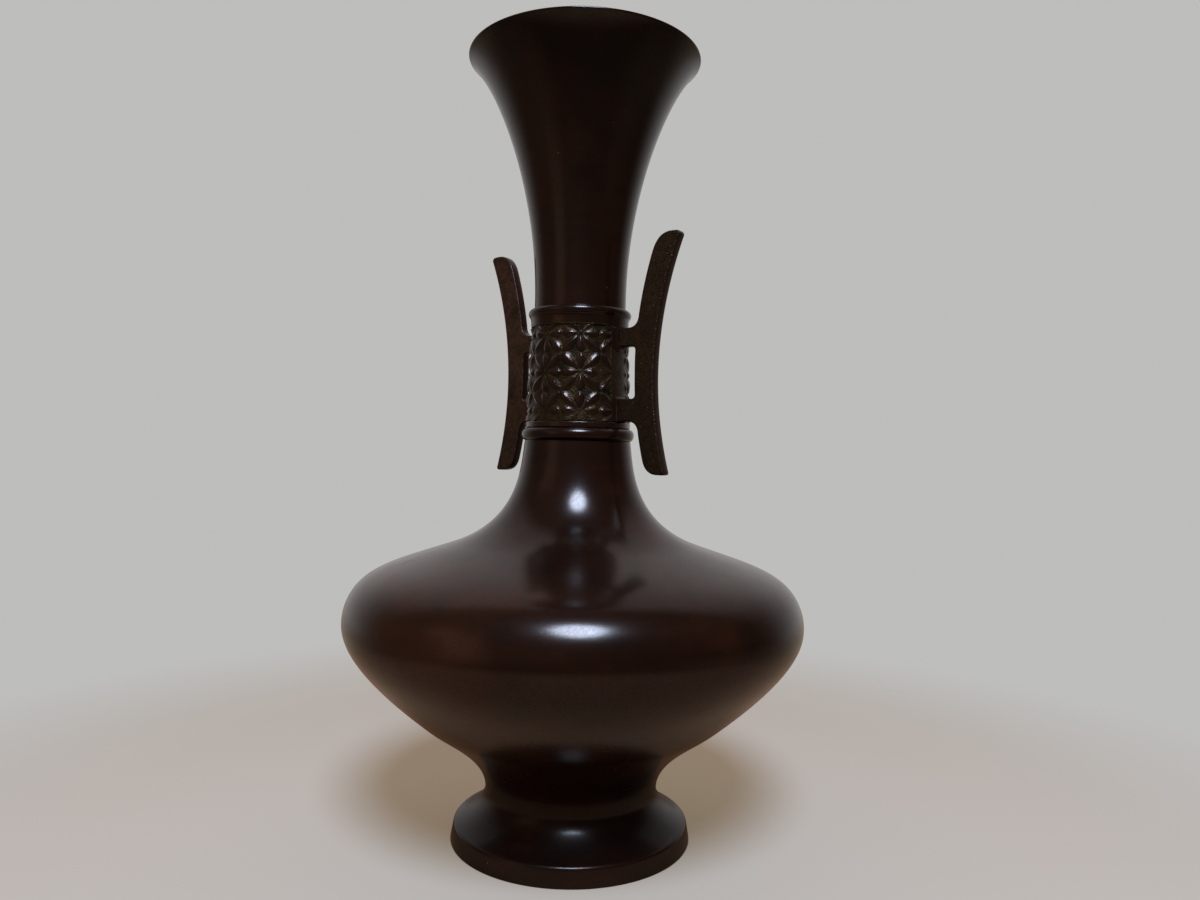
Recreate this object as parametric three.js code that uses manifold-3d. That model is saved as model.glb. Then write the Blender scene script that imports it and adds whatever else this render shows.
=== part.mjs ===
// A copper flower vase: a spreading foot, a wide low body, a slim neck with an ornament band
// between two beads, a pair of strap ears and a flared mouth.
// Millimetres, +Z up, with the origin in the middle of the foot's underside.
import * as THREE from 'three';
import * as BufferGeometryUtils from 'three/addons/utils/BufferGeometryUtils.js';
import Module from 'manifold-3d';

const wasm = await Module();
wasm.setup();

// Whole height
const vaseHeight = 250;

// Fits and walls
const fitGap = 0.15;
const seatGap = 0.3;
const shellWall = 2.2;
const lipThickness = 1.3;
const lapLength = 4;
const lapWall = 1.6;

// Foot
const footRadius = 38.3;
const footChamfer = 0.4;
const footEdgeDraft = 1;
const footBandHeight = 5.8;
const footCoveHeight = 10.2;
const footCoveStartAngle = 169;
const footCoveStartPull = 2;
const footCoveEndPull = 4.7;
const footWallAtWaist = 2.4;
const waistRadius = 27.5;
const footRingWidth = 4.65;

// Base plate, let into the foot from below
const basePlateRecess = 3;
const basePlateThickness = 2;
const basePlateRest = 2.6;

// Lower body: a hollow curve out of the waist, then a full one up to the widest line
const bellyRise = 54.2;
const bellyRadius = 72.7;
const bellyStartPull = 11;
const bellyTurnRadius = 48.8;
const bellyTurnRise = 23.6;
const bellyTurnAngle = 39.5;
const bellyTurnPullBelow = 7.4;
const bellyTurnPullAbove = 28;
const bellyEndPull = 5.1;

// Upper body: a tight roll over the widest line, then a hollow sweep into the neck
const shoulderRise = 56.7;
const shoulderStartPull = 13.3;
const shoulderTurnRadius = 40;
const shoulderTurnRise = 23.8;
const shoulderTurnAngle = 161;
const shoulderTurnPullBelow = 23.8;
const shoulderTurnPullAbove = 22.9;
const neckBaseRadius = 17.1;
const neckBaseAngle = 97.5;
const shoulderEndPull = 9.1;
const seamStep = 1.9;
const seamFlangeWall = 1.35;

// Neck and mouth
const boreRadius = 12.4;
const neckRadius = 14.75;
const neckStraightHeight = 9.1;
const mouthRadius = 37.4;
const mouthStartPull = 36;
const mouthEndAngle = 40;
const mouthEndPull = 12.6;

// Beads over the two joints of the neck
const lowerBeadLedge = 1.25;
const lowerBeadHeight = 4;
const lowerBeadDepth = 2.2;
const lowerBeadGroove = 0.1;
const upperBeadHeight = 5.6;
const upperBeadDepth = 1.7;
const beadFlat = 0.6;

// Ornament band
const bandHeight = 32.4;
const bandLowStep = 0.75;
const bandHighStep = 0.5;
const bandLowRim = 1.9;
const bandHighRim = 0.4;
const bandRimProud = 0.55;
const bandRimBevel = 0.3;
const lowSpigotLength = 4;
const highSpigotLength = 5.5;

// Star lattice on the band: each star has eight leaves, laid out on a square net
const starPitch = 12;
const starRise = 17.2;
const starTurn = -4;
const starLeaves = 8;
const leafRoot = 0.9;
const leafTipGap = 0.3;
const leafHalfWidth = 1.05;
const leafRelief = 0.55;
const leafEdgeDepth = 0.04;
const leafSink = 0.8;
const netColumns = 5;
const netRows = 3;

// Plain strips on the band behind the ears, and the seats that the ears stand on
const stripWidth = 7.2;
const stripProud = 0.25;
const seatProud = 0.75;
const seatMargin = 0.4;

// Ears: flat straps, bowed away from the neck at both ends, each on two stubs
const earThickness = 3.3;
const earBevel = 0.45;
const earMiddleRise = 16.4;
const earWaistReach = 29.8;
const earTopReach = 38.7;
const earTopRise = 43.3;
const earTopRound = 4.6;
const earBottomReach = 34.4;
const earBottomDrop = 30.6;
const earBottomRound = 4.4;
const earDepth = 7.1;
const earTopDepth = 8.3;
const upperStubRise = 11.95;
const upperStubHeight = 5.9;
const lowerStubDrop = 10.75;
const lowerStubHeight = 7.1;
const outerStubFillet = 3.4;
const innerStubFillet = 1.4;

// Rivets that hold each stub through the band's wall
const rivetShankRadius = 0.8;
const rivetHeadRadius = 1.5;
const rivetHeadHeight = 0.8;
const rivetDepth = 3;
const rivetTip = 0.3;
const rivetDomeAngles = [60, 20];

// Fineness of the round work
const roundSteps = 36;
const rivetSteps = 10;
const leadingSteps = 4;
const bellyHollowSteps = 5;
const bodySteps = 7;
const mouthSteps = 9;
const beadSteps = 5;
const earSteps = 6;
const filletSteps = 3;
const mergeTolerance = 1e-4;
const cutterMargin = 1;

// Levels and radii that follow from the sizes above
const waistHeight = footBandHeight + footCoveHeight;
const widestHeight = waistHeight + bellyRise;
const neckBaseHeight = widestHeight + shoulderRise;
const bandBottom = neckBaseHeight + lowerBeadHeight + lowerBeadGroove;
const bandTop = bandBottom + bandHeight;
const neckStraightTop = bandTop + neckStraightHeight;
const lipHeight = vaseHeight;
const collarRadius = neckBaseRadius - lowerBeadLedge;
const lowSocketRadius = (boreRadius + collarRadius) / 2;
const highSocketRadius = (boreRadius + neckRadius) / 2;
const seamSocketRadius = bellyRadius - seamStep;
const footSpigotRadius = waistRadius - footWallAtWaist - fitGap;
const fieldBottom = bandBottom + bandLowRim;
const fieldTop = bandTop - bandHighRim;
const groundLow = neckBaseRadius - bandLowStep;
const groundHigh = neckRadius + bandHighStep;
const seatFace = groundLow + seatProud;
const earMiddle = bandBottom + earMiddleRise;
const upperStubMiddle = earMiddle + upperStubRise;
const lowerStubMiddle = earMiddle - lowerStubDrop;

const patina = new THREE.MeshStandardMaterial({ color: 0x2b1a14, roughness: 0.32, metalness: 0.75 });
const bandPatina = new THREE.MeshStandardMaterial({ color: 0x2e2216, roughness: 0.5, metalness: 0.65 });
const earPatina = new THREE.MeshStandardMaterial({ color: 0x33241a, roughness: 0.48, metalness: 0.7 });
const innerPatina = new THREE.MeshStandardMaterial({ color: 0x3a2519, roughness: 0.55, metalness: 0.7 });

const at = (radius, height) => new THREE.Vector2(radius, height);
const radians = THREE.MathUtils.degToRad;

// A cubic curve between two points of an outline. The angles say which way the outline runs, in
// degrees up from straight outwards, and the pulls how far it keeps that way.
function sweep(start, startAngle, startPull, end, endAngle, endPull, steps) {
  const lead = at(Math.cos(radians(startAngle)), Math.sin(radians(startAngle))).multiplyScalar(startPull);
  const trail = at(Math.cos(radians(endAngle)), Math.sin(radians(endAngle))).multiplyScalar(endPull);
  const curve = new THREE.CubicBezierCurve(start, start.clone().add(lead), end.clone().sub(trail), end);
  return curve.getPoints(steps);
}

// The inner side of a wall whose outer side rises through these points, thick as wallAt says.
function innerSide(points, wallAt) {
  return points.map((point, index) => {
    const before = points[Math.max(index - 1, 0)];
    const after = points[Math.min(index + 1, points.length - 1)];
    const along = after.clone().sub(before).normalize();
    return at(-along.y, along.x).multiplyScalar(wallAt(point)).add(point);
  });
}

// A round body from its outline, given up the outer side and down the inner side.
function turned(outline, steps = roundSteps) {
  return new THREE.LatheGeometry(outline, steps).rotateX(Math.PI / 2);
}

function turnedRing(outline) {
  return turned([...outline, outline[0]]);
}

function toSolid(geometry) {
  const bare = geometry.clone();
  bare.deleteAttribute('normal');
  bare.deleteAttribute('uv');
  const merged = BufferGeometryUtils.mergeVertices(bare, mergeTolerance);
  return new wasm.Manifold(new wasm.Mesh({
    numProp: 3,
    vertProperties: new Float32Array(merged.attributes.position.array),
    triVerts: new Uint32Array(merged.index.array),
  }));
}

function toGeometry(solid) {
  const mesh = solid.getMesh();
  const geometry = new THREE.BufferGeometry();
  geometry.setAttribute('position', new THREE.BufferAttribute(mesh.vertProperties, 3));
  geometry.setIndex(new THREE.BufferAttribute(mesh.triVerts, 1));
  geometry.computeVertexNormals();
  return geometry;
}

// A block between two corners.
function block(low, high) {
  const size = high.clone().sub(low);
  const middle = low.clone().add(high).multiplyScalar(0.5);
  return new THREE.BoxGeometry(size.x, size.y, size.z).translate(middle.x, middle.y, middle.z);
}

// A round cutter along X from one distance to another, at a height.
function crossDrill(radius, from, to, height) {
  const drill = new THREE.CylinderGeometry(radius, radius, to - from, rivetSteps);
  return drill.rotateZ(Math.PI / 2).translate((from + to) / 2, 0, height);
}

function footGeometry() {
  const edge = at(footRadius - footEdgeDraft, footBandHeight);
  const waist = at(waistRadius, waistHeight);
  const cove = sweep(edge, footCoveStartAngle, footCoveStartPull, waist, 90, footCoveEndPull, leadingSteps);
  const plateRadius = footRadius - footRingWidth;
  const plateTop = basePlateRecess + basePlateThickness;
  const spigotInner = footSpigotRadius - lapWall;
  return turnedRing([
    at(plateRadius, 0),
    at(footRadius - footChamfer, 0),
    at(footRadius, footChamfer),
    ...cove,
    at(footSpigotRadius, waistHeight),
    at(footSpigotRadius, waistHeight + lapLength),
    at(spigotInner, waistHeight + lapLength),
    at(spigotInner, waistHeight - shellWall),
    at(plateRadius - basePlateRest, plateTop),
    at(plateRadius, plateTop),
  ]);
}

function basePlateGeometry() {
  const radius = footRadius - footRingWidth - fitGap;
  return turned([
    at(0, basePlateRecess),
    at(radius, basePlateRecess),
    at(radius, basePlateRecess + basePlateThickness),
    at(0, basePlateRecess + basePlateThickness),
  ]);
}

function bellyGeometry() {
  const waist = at(waistRadius, waistHeight);
  const turn = at(bellyTurnRadius, waistHeight + bellyTurnRise);
  const widest = at(bellyRadius, widestHeight);
  const hollow = sweep(waist, 90, bellyStartPull, turn, bellyTurnAngle, bellyTurnPullBelow,
    bellyHollowSteps);
  const full = sweep(turn, bellyTurnAngle, bellyTurnPullAbove, widest, 90, bellyEndPull, bodySteps);
  const outer = [...hollow, ...full.slice(1)];
  const seamFloor = widestHeight - lapLength - fitGap;
  const inner = innerSide(outer, () => shellWall);
  const innerBelowSeam = inner.slice(1).filter((point) => point.y < seamFloor - fitGap);
  return turnedRing([
    ...outer,
    at(seamSocketRadius, widestHeight),
    at(seamSocketRadius, seamFloor),
    at(seamSocketRadius - seamFlangeWall, seamFloor),
    ...innerBelowSeam.reverse(),
    at(waistRadius - footWallAtWaist, waistHeight),
  ]);
}

function shoulderGeometry() {
  const widest = at(bellyRadius, widestHeight);
  const turn = at(shoulderTurnRadius, widestHeight + shoulderTurnRise);
  const neckBase = at(neckBaseRadius, neckBaseHeight);
  const roll = sweep(widest, 90, shoulderStartPull, turn, shoulderTurnAngle, shoulderTurnPullBelow,
    bodySteps);
  const hollow = sweep(turn, shoulderTurnAngle, shoulderTurnPullAbove, neckBase, neckBaseAngle,
    shoulderEndPull, bodySteps);
  const outer = [...roll, ...hollow.slice(1)];
  const flangeOuter = seamSocketRadius - fitGap;
  const flangeInner = flangeOuter - seamFlangeWall;
  const flangeTop = widestHeight + seamFlangeWall;
  const inner = innerSide(outer, () => shellWall);
  const innerMiddle = inner.filter((point) => point.y > flangeTop + shellWall
    && point.y < neckBaseHeight - lowSpigotLength && point.x > lowSocketRadius);
  return turnedRing([
    ...outer,
    at(collarRadius, neckBaseHeight),
    at(collarRadius, bandBottom),
    at(lowSocketRadius, bandBottom),
    at(lowSocketRadius, neckBaseHeight - fitGap),
    ...innerMiddle.reverse(),
    at(flangeInner, flangeTop),
    at(flangeInner, widestHeight - lapLength),
    at(flangeOuter, widestHeight - lapLength),
    at(flangeOuter, widestHeight),
  ]);
}

// The bead's outline is half an ellipse on a flat back.
function beadGeometry(innerRadius, bottom, height, depth) {
  const outline = [at(innerRadius, bottom)];
  for (let step = 0; step <= beadSteps; step += 1) {
    const angle = Math.PI * (step / beadSteps - 0.5);
    const radius = innerRadius + beadFlat + (depth - beadFlat) * Math.cos(angle);
    outline.push(at(radius, bottom + height * (0.5 + 0.5 * Math.sin(angle))));
  }
  outline.push(at(innerRadius, bottom + height));
  return turnedRing(outline);
}

// The band's plain outer radius at a height, tapering with the neck.
function groundRadius(height) {
  return THREE.MathUtils.mapLinear(height, fieldBottom, fieldTop, groundLow, groundHigh);
}

function bandSleeve() {
  const lowRimRadius = groundLow + bandRimProud;
  const highRimRadius = groundHigh + bandRimProud;
  const lowSpigotRadius = lowSocketRadius - fitGap;
  const highSpigotRadius = highSocketRadius - fitGap;
  return turnedRing([
    at(lowSpigotRadius, bandBottom),
    at(lowRimRadius - bandRimBevel, bandBottom),
    at(lowRimRadius, bandBottom + bandRimBevel),
    at(lowRimRadius, fieldBottom - bandRimBevel),
    at(groundLow, fieldBottom),
    at(groundHigh, fieldTop),
    at(highRimRadius, fieldTop),
    at(highRimRadius, bandTop),
    at(highSpigotRadius, bandTop),
    at(highSpigotRadius, bandTop + highSpigotLength),
    at(boreRadius, bandTop + highSpigotLength),
    at(boreRadius, bandBottom - lowSpigotLength),
    at(lowSpigotRadius, bandBottom - lowSpigotLength),
  ]);
}

// A ring that follows the band's ground between its rims, from one depth to another.
function fieldRing(lowest, highest) {
  return turnedRing([
    at(groundLow + lowest, fieldBottom),
    at(groundLow + highest, fieldBottom),
    at(groundHigh + highest, fieldTop),
    at(groundHigh + lowest, fieldTop),
  ]);
}

// One leaf of a star: a long rhombus with raised middle, rooted below the band's ground.
function leafGeometry(starAngle, starHeight, heading, reach) {
  const along = at(Math.cos(heading), Math.sin(heading));
  const across = at(-along.y, along.x).multiplyScalar(leafHalfWidth);
  const root = along.clone().multiplyScalar(leafRoot);
  const tip = along.clone().multiplyScalar(reach);
  const middle = root.clone().lerp(tip, 0.5);
  const outline = [root, middle.clone().sub(across), tip, middle.clone().add(across)];
  const place = (offset, lift) => {
    const height = starHeight + offset.y;
    const radius = groundRadius(height) + lift;
    const angle = starAngle + offset.x / groundRadius(starHeight);
    return [radius * Math.cos(angle), radius * Math.sin(angle), height];
  };
  const corners = outline.length;
  const apex = 2 * corners;
  const positions = [
    ...outline.flatMap((offset) => place(offset, -leafEdgeDepth)),
    ...outline.flatMap((offset) => place(offset, -leafSink)),
    ...place(middle, leafRelief),
    ...place(middle, -leafSink),
  ];
  const underside = 2 * corners + 1;
  const faces = [];
  for (let corner = 0; corner < corners; corner += 1) {
    const next = (corner + 1) % corners;
    faces.push(corner, next, apex);
    faces.push(corner, corner + corners, next + corners);
    faces.push(corner, next + corners, next);
    faces.push(next + corners, corner + corners, underside);
  }
  const geometry = new THREE.BufferGeometry();
  geometry.setAttribute('position', new THREE.Float32BufferAttribute(positions, 3));
  geometry.setIndex(faces);
  return geometry;
}

// The star net of one panel, its middle facing panelAngle. A leaf is left out where its tip would
// pass the panel's edge or a rim.
function starLeavesOfPanel(panelAngle) {
  const leaves = [];
  const netRadius = groundRadius(bandBottom + starRise);
  const pitchAngle = starPitch / netRadius;
  const panelHalfAngle = Math.acos(stripWidth / 2 / netRadius);
  const straightReach = starPitch / 2 - leafTipGap;
  const slantedReach = starPitch / Math.SQRT2 - leafTipGap;
  for (let column = 0; column < netColumns; column += 1) {
    for (let row = 0; row < netRows; row += 1) {
      const turn = radians(starTurn) + (column - (netColumns - 1) / 2) * pitchAngle;
      const height = bandBottom + starRise + (row - (netRows - 1) / 2) * starPitch;
      for (let leaf = 0; leaf < starLeaves; leaf += 1) {
        const heading = (2 * Math.PI * leaf) / starLeaves;
        const reach = leaf % 2 ? slantedReach : straightReach;
        const tipHeight = height + reach * Math.sin(heading);
        const tipTurn = turn + (reach * Math.cos(heading)) / netRadius;
        if (tipHeight > fieldBottom && tipHeight < fieldTop && Math.abs(tipTurn) < panelHalfAngle) {
          leaves.push(toSolid(leafGeometry(panelAngle + turn, height, heading, reach)));
        }
      }
    }
  }
  return leaves;
}

// Both ways across the neck, a block over the plain strips behind the ears.
function stripBlock() {
  const reach = seatFace + cutterMargin;
  const low = new THREE.Vector3(-reach, -stripWidth / 2, fieldBottom - cutterMargin);
  const high = new THREE.Vector3(reach, stripWidth / 2, fieldTop + cutterMargin);
  return toSolid(block(low, high));
}

function seatBlock(side, middle, height) {
  const halfWidth = earThickness / 2 + seatMargin;
  const halfHeight = height / 2 + seatMargin;
  const inside = (boreRadius + groundHigh) / 2;
  const near = Math.min(side * inside, side * seatFace);
  const far = Math.max(side * inside, side * seatFace);
  const low = new THREE.Vector3(near, -halfWidth, middle - halfHeight);
  const high = new THREE.Vector3(far, halfWidth, middle + halfHeight);
  return toSolid(block(low, high));
}

function bandGeometry() {
  const leaves = [...starLeavesOfPanel(-Math.PI / 2), ...starLeavesOfPanel(Math.PI / 2)];
  const strips = toSolid(fieldRing(-leafSink, stripProud)).intersect(stripBlock());
  let band = leaves.reduce((joined, leaf) => joined.add(leaf), toSolid(bandSleeve()).add(strips));
  for (const side of [1, -1]) {
    band = band.add(seatBlock(side, upperStubMiddle, upperStubHeight));
    band = band.add(seatBlock(side, lowerStubMiddle, lowerStubHeight));
  }
  const holeRadius = rivetShankRadius + fitGap;
  const inside = boreRadius / 2;
  const outside = seatFace + cutterMargin;
  for (const height of [upperStubMiddle, lowerStubMiddle]) {
    band = band.subtract(toSolid(crossDrill(holeRadius, -outside, -inside, height)));
    band = band.subtract(toSolid(crossDrill(holeRadius, inside, outside, height)));
  }
  return toGeometry(band);
}

function neckGeometry() {
  const neckTop = at(neckRadius, neckStraightTop);
  const lip = at(mouthRadius, lipHeight);
  const trumpet = sweep(neckTop, 90, mouthStartPull, lip, mouthEndAngle, mouthEndPull, mouthSteps);
  const neckWall = neckRadius - boreRadius;
  const wallAt = (point) => THREE.MathUtils.mapLinear(
    point.y, neckStraightTop, lipHeight, neckWall, lipThickness);
  const inner = innerSide(trumpet, wallAt);
  const innerBelowLip = inner.filter((point) => point.y < lipHeight - lipThickness);
  const socketTop = bandTop + highSpigotLength + fitGap;
  return turnedRing([
    at(neckRadius, bandTop),
    ...trumpet,
    at(mouthRadius - lipThickness, lipHeight),
    ...innerBelowLip.reverse(),
    at(boreRadius, socketTop),
    at(highSocketRadius, socketTop),
    at(highSocketRadius, bandTop),
  ]);
}

// How far the strap's outer edge stands from the vase's axis, rise above the strap's middle.
function strapReach(rise) {
  const far = rise > 0 ? earTopReach : earBottomReach;
  const span = rise > 0 ? earTopRise : earBottomDrop;
  return earWaistReach + (far - earWaistReach) * (rise / span) ** 2;
}

// How far its inner edge stands, because the strap grows a little deeper towards the top.
function strapInnerReach(rise) {
  const extra = (earTopDepth - earDepth) * Math.max(rise / earTopRise, 0);
  return strapReach(rise) - earDepth - extra;
}

function earGeometry() {
  const seat = seatFace + seatGap;
  const shape = new THREE.Shape();
  const innerPoint = (rise) => [strapInnerReach(rise), earMiddle + rise];
  const inwards = (rise, distance) => [strapInnerReach(rise) - distance, earMiddle + rise];
  const edge = (from, to, reachAt) => {
    for (let step = 1; step <= earSteps; step += 1) {
      const rise = from + ((to - from) * step) / earSteps;
      shape.lineTo(reachAt(rise), earMiddle + rise);
    }
  };
  const upperTop = upperStubRise + upperStubHeight / 2;
  const upperBottom = upperStubRise - upperStubHeight / 2;
  const lowerTop = -lowerStubDrop + lowerStubHeight / 2;
  const lowerBottom = -lowerStubDrop - lowerStubHeight / 2;
  const tipRound = earTopRise - earTopRound;
  const toeRound = -earBottomDrop + earBottomRound;

  shape.moveTo(seat, earMiddle + upperTop);
  shape.lineTo(...inwards(upperTop, outerStubFillet));
  shape.quadraticCurveTo(...innerPoint(upperTop), ...innerPoint(upperTop + outerStubFillet));
  edge(upperTop + outerStubFillet, tipRound, strapInnerReach);
  shape.quadraticCurveTo(...innerPoint(earTopRise), ...inwards(earTopRise, -earTopRound));
  shape.lineTo(earTopReach, earMiddle + earTopRise);
  edge(earTopRise, 0, strapReach);
  edge(0, -earBottomDrop, strapReach);
  shape.lineTo(...inwards(-earBottomDrop, -earBottomRound));
  shape.quadraticCurveTo(...innerPoint(-earBottomDrop), ...innerPoint(toeRound));
  edge(toeRound, lowerBottom - outerStubFillet, strapInnerReach);
  shape.quadraticCurveTo(...innerPoint(lowerBottom), ...inwards(lowerBottom, outerStubFillet));
  shape.lineTo(seat, earMiddle + lowerBottom);
  shape.lineTo(seat, earMiddle + lowerTop);
  shape.lineTo(...inwards(lowerTop, innerStubFillet));
  shape.quadraticCurveTo(...innerPoint(lowerTop), ...innerPoint(lowerTop + innerStubFillet));
  shape.lineTo(...innerPoint(upperBottom - innerStubFillet));
  shape.quadraticCurveTo(...innerPoint(upperBottom), ...inwards(upperBottom, innerStubFillet));
  shape.lineTo(seat, earMiddle + upperBottom);
  shape.closePath();

  const strap = new THREE.ExtrudeGeometry(shape, {
    depth: earThickness - 2 * earBevel,
    curveSegments: filletSteps,
    bevelThickness: earBevel,
    bevelSize: earBevel,
    bevelOffset: -earBevel,
    bevelSegments: 1,
  });
  strap.translate(0, 0, earBevel - earThickness / 2).rotateX(Math.PI / 2);
  let ear = toSolid(strap);
  const holeRadius = rivetShankRadius + fitGap;
  const holeEnd = seat + rivetDepth + fitGap;
  for (const height of [upperStubMiddle, lowerStubMiddle]) {
    ear = ear.subtract(toSolid(crossDrill(holeRadius, seatFace, holeEnd, height)));
  }
  return toGeometry(ear);
}

// A round-headed rivet along X, its head inside the neck's bore.
function rivetGeometry() {
  const dome = rivetDomeAngles.map((angle) => at(
    rivetHeadRadius * Math.cos(radians(angle)), -rivetHeadHeight * Math.sin(radians(angle))));
  const boreFlat = Math.sqrt(boreRadius ** 2 - rivetHeadRadius ** 2) * Math.cos(Math.PI / roundSteps);
  const headSeat = boreFlat - fitGap;
  const length = seatFace + seatGap + rivetDepth - headSeat;
  return turned([
    at(0, -rivetHeadHeight),
    ...dome,
    at(rivetHeadRadius, 0),
    at(rivetShankRadius, 0),
    at(rivetShankRadius, length - rivetTip),
    at(rivetShankRadius - rivetTip, length),
    at(0, length),
  ], rivetSteps).rotateY(Math.PI / 2).translate(headSeat, 0, 0);
}

function part(name, geometry, material) {
  const mesh = new THREE.Mesh(geometry, material);
  mesh.name = name;
  return mesh;
}

// One ear with its two rivets, turned to its side of the neck.
function earSide(side, turn, geometry, rivet) {
  const group = new THREE.Group();
  const upper = part(`${side}_ear_upper_rivet`, rivet, innerPatina);
  const lower = part(`${side}_ear_lower_rivet`, rivet, innerPatina);
  upper.position.z = upperStubMiddle;
  lower.position.z = lowerStubMiddle;
  group.add(part(`${side}_ear`, geometry, earPatina), upper, lower);
  group.rotation.z = turn;
  return group;
}

const vase = new THREE.Group();
const ear = earGeometry();
const rivet = rivetGeometry();
const lowerBead = beadGeometry(collarRadius + fitGap, neckBaseHeight, lowerBeadHeight, lowerBeadDepth);
const upperBead = beadGeometry(neckRadius + fitGap, bandTop, upperBeadHeight, upperBeadDepth);
vase.add(
  part('foot', footGeometry(), patina),
  part('base_plate', basePlateGeometry(), innerPatina),
  part('lower_body', bellyGeometry(), patina),
  part('upper_body', shoulderGeometry(), patina),
  part('lower_bead', lowerBead, patina),
  part('ornament_band', bandGeometry(), bandPatina),
  part('upper_bead', upperBead, patina),
  part('neck_and_mouth', neckGeometry(), patina),
  earSide('right', 0, ear, rivet),
  earSide('left', Math.PI, ear, rivet),
);

export default vase;
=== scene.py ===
import math

import bmesh
import bpy
import numpy as np
from mathutils import Matrix, Vector


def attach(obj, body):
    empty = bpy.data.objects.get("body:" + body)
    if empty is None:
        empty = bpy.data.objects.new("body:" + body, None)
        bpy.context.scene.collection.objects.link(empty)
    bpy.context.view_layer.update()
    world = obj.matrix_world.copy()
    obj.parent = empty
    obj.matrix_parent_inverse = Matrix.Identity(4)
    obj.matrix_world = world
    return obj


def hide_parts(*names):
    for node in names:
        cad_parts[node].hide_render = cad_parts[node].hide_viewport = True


# A copper flower vase with a waxed red-brown patina. Outlines are in millimetres, as (radius,
# height) pairs, and meshes are in metres. The right ear points along +X.
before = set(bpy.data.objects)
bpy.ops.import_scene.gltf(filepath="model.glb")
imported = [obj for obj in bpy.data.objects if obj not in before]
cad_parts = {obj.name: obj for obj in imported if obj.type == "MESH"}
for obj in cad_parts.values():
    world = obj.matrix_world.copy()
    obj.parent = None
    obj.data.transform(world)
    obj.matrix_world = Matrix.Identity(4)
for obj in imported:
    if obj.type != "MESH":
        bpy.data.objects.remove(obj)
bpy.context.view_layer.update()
print("frame loaded")

metre = 0.001  # one millimetre
frontAngle = math.radians(-52)  # where the camera stands, seen from above


# Outlines

# A cubic curve from start to end. The angles are the directions at its ends, in degrees up from
# straight outwards, and the pulls say how far each direction is kept.
def sweep(start, startAngle, startPull, end, endAngle, endPull, steps=48):
    heading = np.radians([startAngle, endAngle])
    start, end = np.array(start, float), np.array(end, float)
    near = start + startPull * np.array([np.cos(heading[0]), np.sin(heading[0])])
    far = end - endPull * np.array([np.cos(heading[1]), np.sin(heading[1])])
    t = np.linspace(0, 1, steps + 1)[:, None]
    return (1 - t) ** 3 * start + 3 * (1 - t) ** 2 * t * near + 3 * (1 - t) * t ** 2 * far + t ** 3 * end


# Rounds the corner between two neighbours: a parabola that touches both sides, each at its own
# distance from the corner, or both at the first.
def softCorner(before, corner, after, radius, radiusAfter=None, steps=6):
    before, corner, after = (np.array(point, float) for point in (before, corner, after))
    start = corner + radius * (before - corner) / np.linalg.norm(before - corner)
    end = corner + (radiusAfter or radius) * (after - corner) / np.linalg.norm(after - corner)
    t = np.linspace(0, 1, steps + 1)[:, None]
    return (1 - t) ** 2 * start + 2 * t * (1 - t) * corner + t ** 2 * end


# Rounds a corner with a true arc, which begins and ends at radius / tan(half the corner) from it.
def roundCorner(before, corner, after, radius, steps=8):
    before, corner, after = (np.array(point, float) for point in (before, corner, after))
    back = (before - corner) / np.linalg.norm(before - corner)
    on = (after - corner) / np.linalg.norm(after - corner)
    half = math.acos(np.clip(back @ on, -1, 1)) / 2
    centre = corner + (back + on) / np.linalg.norm(back + on) * radius / math.sin(half)
    start = corner + back * radius / math.tan(half) - centre
    end = corner + on * radius / math.tan(half) - centre
    t = np.linspace(0, 1, steps + 1)[:, None]
    spread = math.pi - 2 * half
    return centre + (np.sin((1 - t) * spread) * start + np.sin(t * spread) * end) / math.sin(spread)


# Points of a circle, at angles in radians.
def arc(middle, radius, angle):
    return np.array(middle) + radius * np.stack([np.cos(angle), np.sin(angle)], axis=1)


# The inner side of a wall: each point of the outer side moved square to it, by the wall there.
def innerSide(points, wall):
    along = np.gradient(points, axis=0)
    along /= np.linalg.norm(along, axis=1)[:, None]
    square = np.stack([-along[:, 1], along[:, 0]], axis=1)
    return points + square * np.broadcast_to(wall, len(points))[:, None]


# Puts points and runs of points one after the other.
def chain(*parts):
    return np.vstack([np.atleast_2d(np.array(part, float)) for part in parts])


# Meshes

def addObject(name, data):
    made = bpy.data.objects.new(name, data)
    bpy.context.collection.objects.link(made)
    return made


# Makes a mesh a piece of the vase: smooth up to the crease angle, and standing for its CAD node.
def addPiece(name, mesh, node, finishes, creaseAngle=35):
    mesh.shade_smooth()
    mesh.set_sharp_from_angle(angle=math.radians(creaseAngle))
    for finish in finishes:
        mesh.materials.append(finish)
    piece = addObject(name, mesh)
    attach(piece, "root")
    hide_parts(node)
    return piece


# A mesh over a grid of points in millimetres, closed along its columns, and along its rows too
# unless the rows end in poles. Faces look along (column step) x (row step).
def gridMesh(name, points, closedRows=True, materialRows=None):
    rows, columns = points.shape[:2]
    index = np.arange(rows * columns).reshape(rows, columns)
    index = np.hstack([index, index[:, :1]])
    if closedRows:
        index = np.vstack([index, index[:1]])
    quads = np.stack([index[:-1, :-1], index[:-1, 1:], index[1:, 1:], index[1:, :-1]], axis=-1)
    mesh = bpy.data.meshes.new(name)
    mesh.from_pydata(points.reshape(-1, 3) * metre, [], quads.reshape(-1, 4))
    if materialRows is not None:
        mesh.polygons.foreach_set("material_index", np.repeat(materialRows, columns).astype(np.int32))
    if not closedRows:
        work = bmesh.new()
        work.from_mesh(mesh)
        bmesh.ops.remove_doubles(work, verts=work.verts, dist=1e-7)
        work.to_mesh(mesh)
        work.free()
    mesh.update()
    return mesh


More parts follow.
